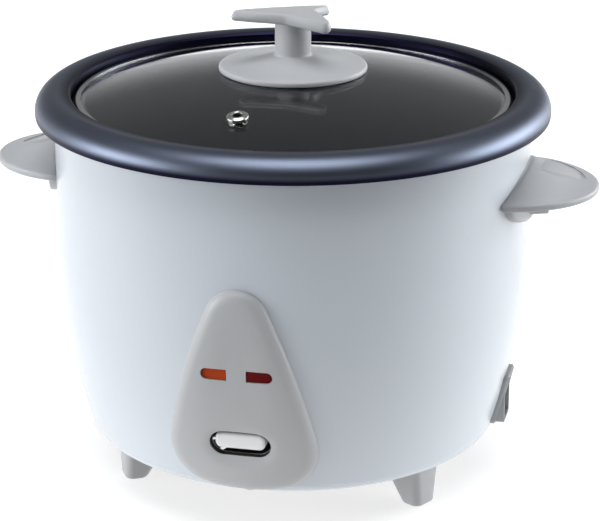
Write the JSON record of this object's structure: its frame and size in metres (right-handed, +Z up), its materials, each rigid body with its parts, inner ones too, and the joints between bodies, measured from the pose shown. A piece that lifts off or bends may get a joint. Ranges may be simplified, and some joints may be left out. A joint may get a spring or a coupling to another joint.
{
  "type": "rice cooker",
  "caption": "Drum rice cooker: painted steel body with ear handles, front panel with lamps and a press-down key, lift-out pot, domed glass lid with knob and magnetic thermostat.",
  "frame": {"origin": "Middle of the drum on the floor, under the feet", "axes": "+Z up along the drum's axis, -Y out of the control panel, +X along the handles, towards the inlet side"},
  "size_m": [0.3236, 0.27, 0.2511],
  "materials": {
    "drum_paint": "gloss white stove enamel on sheet steel",
    "cover_steel": "zinc-coated sheet, satin",
    "grey_plastic": "fine satin moulded grey plastic",
    "panel_plastic": "satin moulded grey plastic",
    "key_plastic": "gloss white moulded plastic",
    "amber_lens": "clear-tinted moulded lens with fine ribs inside",
    "red_lens": "clear-tinted moulded lens with fine ribs inside",
    "amber_lamp": "small neon lamp",
    "red_lamp": "small neon lamp",
    "dark_plastic": "heat-proof moulded plastic",
    "inlet_plastic": "heat-proof moulded plastic",
    "pin_brass": "bare brass blades",
    "screw_steel": "zinc-plated screws",
    "liner_steel": "aluminised sheet, satin",
    "bracket_steel": "zinc-plated strip",
    "cast_heater": "cast aluminium with a turned upper face",
    "element_steel": "heat-blued tube",
    "cap_aluminium": "drawn aluminium",
    "spring_steel": "spring wire",
    "ferrite": "sintered ferrite",
    "switch_phenolic": "brown moulded phenolic",
    "plunger_plastic": "moulded nylon",
    "block_ceramic": "unglazed steatite",
    "fuse_sleeve": "woven glass-fibre sleeve",
    "lead_sleeve": "woven glass-fibre sleeve",
    "pot_coating": "blue-grey coating outside, dark non-stick coating inside",
    "dome_glass": "clear tempered glass",
    "band_steel": "polished folded stainless strip",
    "seal_compound": "dark silicone filler",
    "eyelet_steel": "polished stainless eyelet",
    "washer_rubber": "silicone washer"
  },
  "bodies": {
    "base": {"outer_body": "drum_paint", "bottom_cover": "cover_steel", "foot_front_left": "grey_plastic", "foot_front_right": "grey_plastic", "foot_rear": "grey_plastic", "foot_screws": "screw_steel", "cover_screws": "screw_steel", "handle_left": "grey_plastic", "handle_right": "grey_plastic", "handle_screws": "screw_steel", "control_panel": "panel_plastic", "panel_screws": "screw_steel", "lens_amber": "amber_lens", "lens_red": "red_lens", "lamp_amber": "amber_lamp", "lamp_red": "red_lamp", "lamp_holder": "dark_plastic", "inlet_housing": "inlet_plastic", "inlet_pins": "pin_brass", "inner_liner": "liner_steel", "support_strips": "bracket_steel", "heater_plate": "cast_heater", "heating_element": "element_steel", "heater_legs": "bracket_steel", "heater_screws": "screw_steel", "sensor_sleeve": "bracket_steel", "sensor_spring": "spring_steel", "magnet_spring": "spring_steel", "lever_bracket": "bracket_steel", "lever_pin": "screw_steel", "main_switch": "switch_phenolic", "terminal_block": "block_ceramic", "thermal_fuse": "fuse_sleeve", "lead_wires": "lead_sleeve"},
    "sensor": {"sensor_cap": "cap_aluminium", "thermal_ferrite": "ferrite"},
    "magnet": {"magnet": "ferrite", "magnet_rod": "bracket_steel"},
    "cook_lever": {"cook_lever": "bracket_steel", "cook_key": "key_plastic"},
    "switch_plunger": {"switch_plunger": "plunger_plastic"},
    "pot": {"inner_pot": "pot_coating"},
    "lid": {"lid_glass": "dome_glass", "lid_band": "band_steel", "lid_seal": "seal_compound", "vent_eyelet": "eyelet_steel", "knob_base": "grey_plastic", "knob_grip": "grey_plastic", "knob_screw": "screw_steel", "knob_washer": "washer_rubber"}
  },
  "joints": [
    {"name": "pot_lift", "type": "slide", "parent": "base", "child": "pot", "axis": [0, 0, 1], "range_m": [0, 0.16]},
    {"name": "lid_lift", "type": "slide", "parent": "pot", "child": "lid", "axis": [0, 0, 1], "range_m": [0, 0.15]},
    {"name": "sensor_rise", "type": "slide", "parent": "base", "child": "sensor", "axis": [0, 0, 1], "range_m": [0, 0.003], "deforming": ["sensor_spring"]},
    {"name": "key_press", "type": "hinge", "parent": "base", "child": "cook_lever", "pos_m": [0, -0.055, 0.05], "axis": [1, 0, 0], "range_deg": [0, 3], "stiffness_Nm_per_rad": 0.5, "springref_deg": -11.46},
    {"name": "magnet_rise", "type": "slide", "parent": "base", "child": "magnet", "axis": [0, 0, 1], "range_m": [0, 0.0029], "deforming": ["magnet_spring"]},
    {"name": "plunger_press", "type": "slide", "parent": "base", "child": "switch_plunger", "axis": [0, 0, 1], "range_m": [0, 0.00085]}
  ],
  "couplings": [
    {"joint": "magnet_rise", "follows": "key_press", "m_per_rad": 0.055},
    {"joint": "plunger_press", "follows": "key_press", "m_per_rad": 0.016},
    {"joint": "sensor_rise", "follows": "pot_lift", "ratio": 0.01875}
  ]
}
